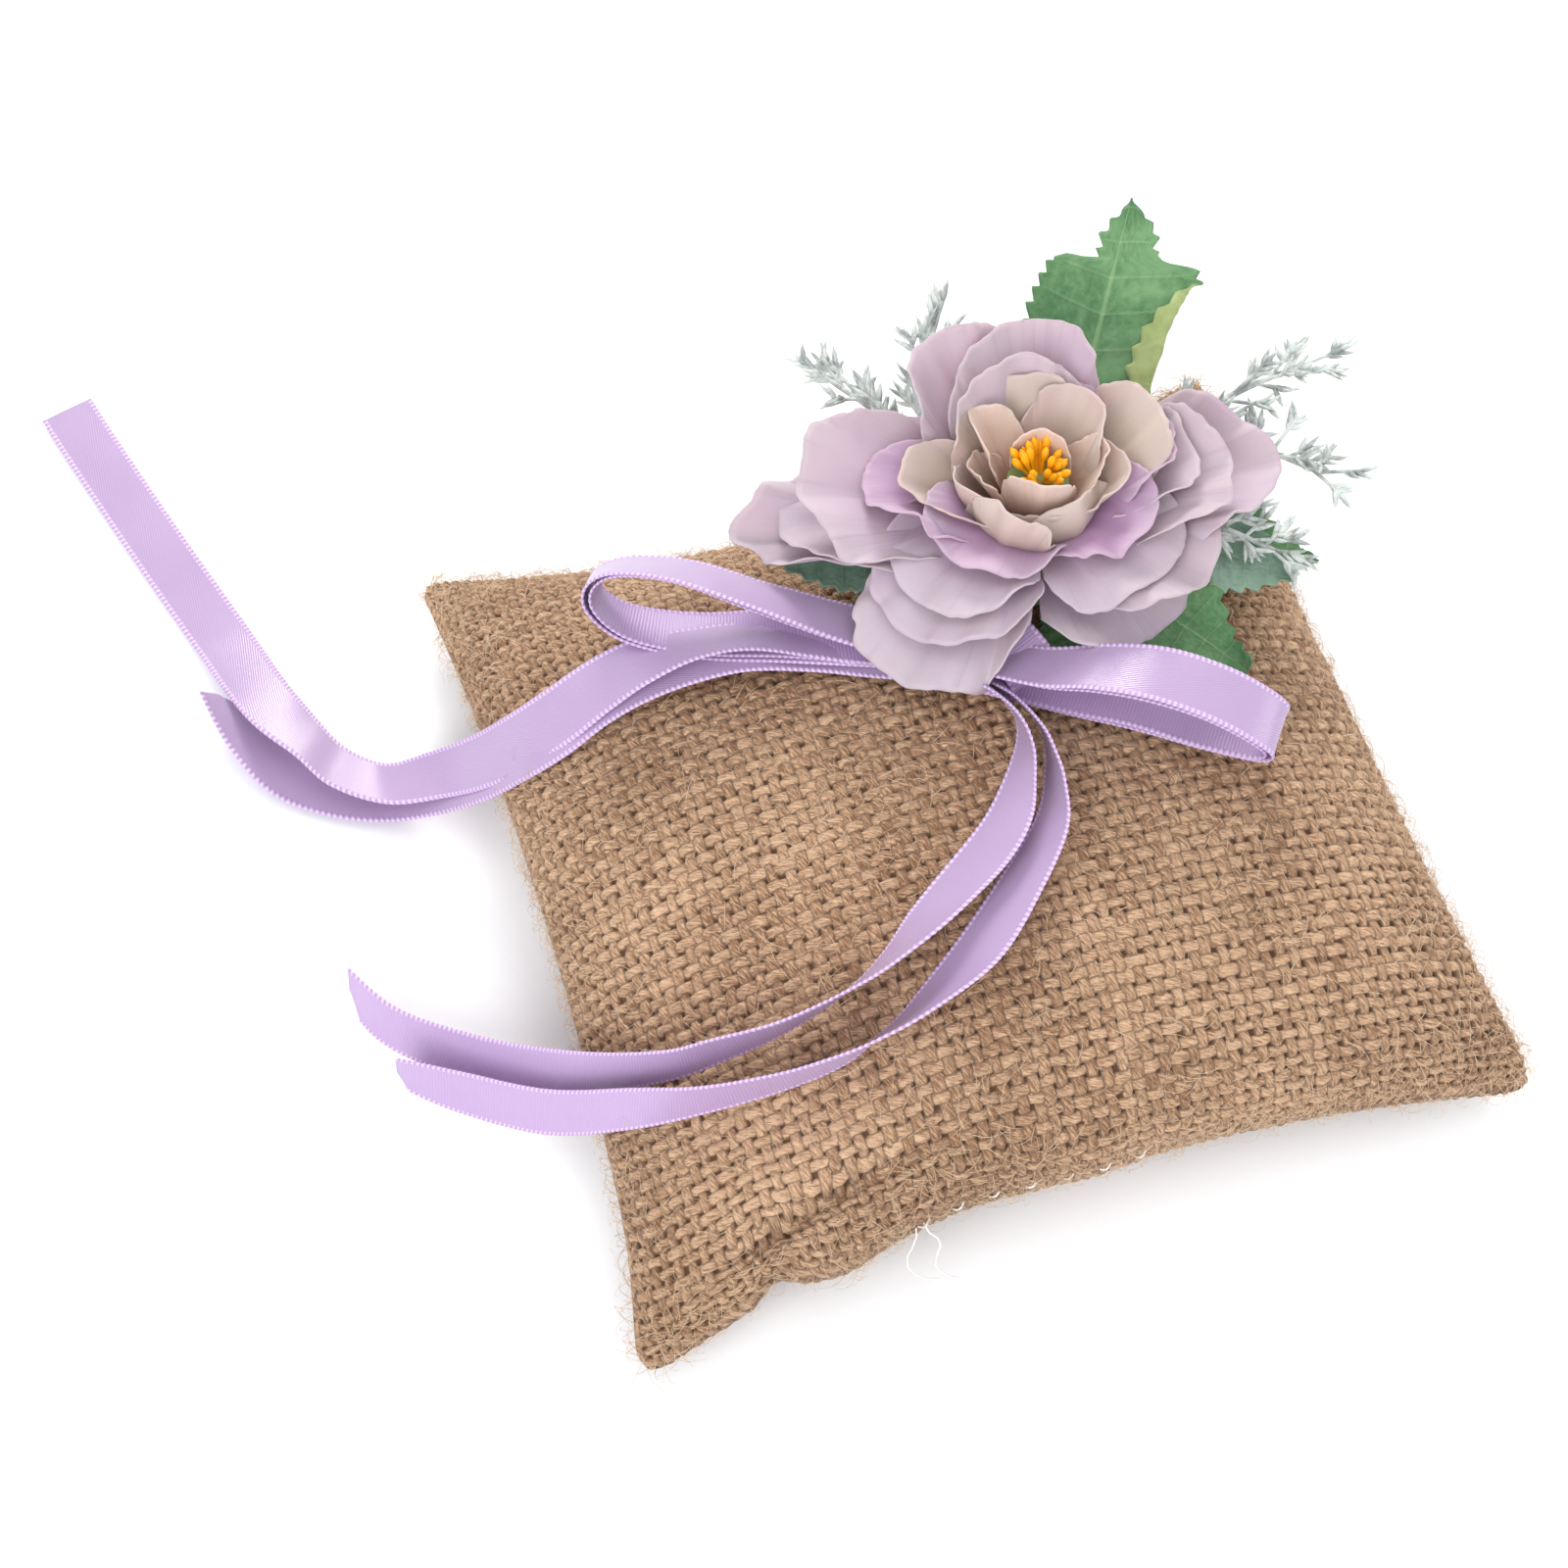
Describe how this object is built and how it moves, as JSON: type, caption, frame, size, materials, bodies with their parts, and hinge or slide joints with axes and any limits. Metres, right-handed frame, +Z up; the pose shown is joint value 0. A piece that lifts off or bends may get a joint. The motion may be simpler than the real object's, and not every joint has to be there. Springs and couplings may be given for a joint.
{
  "type": "ring bearer pillow",
  "caption": "Small square burlap cushion that carries wedding rings, topped with a satin ribbon bow with long tails and a fabric flower with leaves and frosted twigs",
  "frame": {"origin": "the middle of the flat patch on the underside that the pillow rests on, at mount rest_face", "axes": "+Z up through the crown, +X to the right edge, -Y to the front edge that is closed by hand stitches"},
  "size_m": [0.2134, 0.2122, 0.0726],
  "materials": {
    "burlap": "natural jute burlap, coarse plain weave with stray fibres",
    "filling": "loose polyester fibre filling, hidden",
    "thread": "off-white sewing thread",
    "satin": "single-face lavender satin ribbon with looped edges and a ribbed back",
    "glue": "cloudy hot glue",
    "felt": "green felt",
    "peg": "moulded green plastic",
    "outer_petals": "dyed stiffened cloth, lilac with deeper violet shading",
    "inner_petals": "dyed stiffened cloth, dusty beige-pink with pale green roots",
    "stamens": "moulded orange-yellow plastic",
    "leaves": "printed leaf cloth with pale veins",
    "twigs": "silvery flocked plastic with lime green tips"
  },
  "bodies": {
    "root": {"cover_top": "burlap", "cover_bottom": "burlap", "filling": "filling", "seam_thread": "thread", "closing_thread": "thread", "bow_left_outer": "satin", "bow_left_inner": "satin", "bow_right_outer": "satin", "bow_right_inner": "satin", "bow_center_wrap": "satin", "tail_left_upper": "satin", "tail_left_lower": "satin", "tail_front_inner": "satin", "tail_front_outer": "satin", "glue_pad": "glue", "flower_backing": "felt", "calyx_peg": "peg", "petals_outer_low": "outer_petals", "petals_outer_middle": "outer_petals", "petals_outer_high": "outer_petals", "petals_inner_low": "inner_petals", "petals_inner_high": "inner_petals", "petals_cup": "inner_petals", "petals_bud": "inner_petals", "stamens": "stamens", "leaf_back": "leaves", "leaf_right_upper": "leaves", "leaf_right_lower": "leaves", "leaf_front_right": "leaves", "leaf_front": "leaves", "leaf_left": "leaves", "twig_left_back": "twigs", "twig_left_front": "twigs", "twig_right_back": "twigs", "twig_right_middle": "twigs", "twig_right_front": "twigs"}
  },
  "joints": []
}
